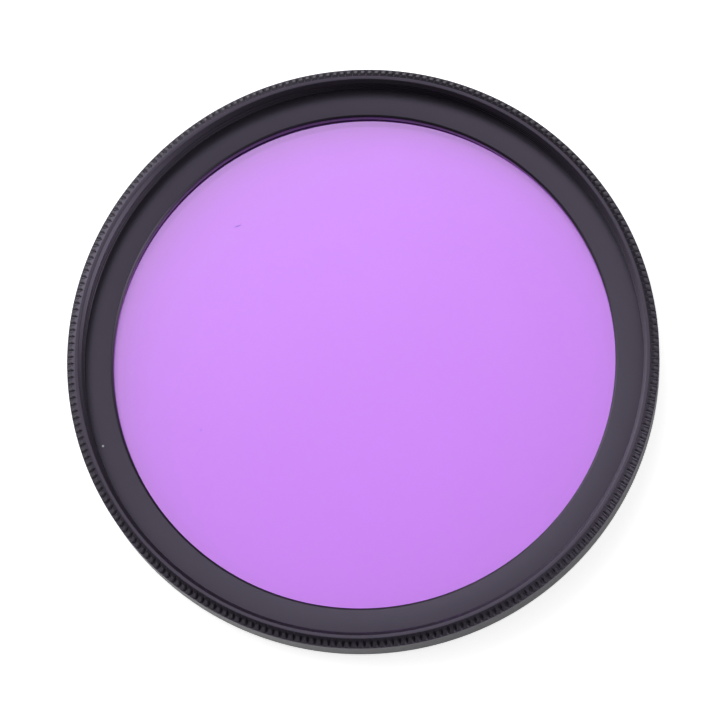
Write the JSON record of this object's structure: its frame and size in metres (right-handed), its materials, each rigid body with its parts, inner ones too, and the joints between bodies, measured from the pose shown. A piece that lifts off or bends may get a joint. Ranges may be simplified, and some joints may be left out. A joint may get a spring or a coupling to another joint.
{
  "type": "color effect filter",
  "caption": "Round screw-in lens filter: a purple glass disc in a black knurled metal ring, with a male thread behind and a female thread in front.",
  "frame": {"origin": "centre of the rear end, the plane of the male thread's end that the filter stands on", "axes": "+Z along the optical axis, out of the front; X and Y across the glass, with the spanner notches of the retaining ring on X"},
  "size_m": [0.054, 0.054, 0.0061],
  "materials": {
    "black_anodised": "satin black anodised aluminium, finely turned",
    "purple_glass": "flat polished purple filter glass",
    "black_anodised_ring": "matt black anodised aluminium"
  },
  "bodies": {
    "root": {"filter_frame": "black_anodised", "color_glass": "purple_glass", "retaining_ring": "black_anodised_ring"}
  },
  "joints": []
}
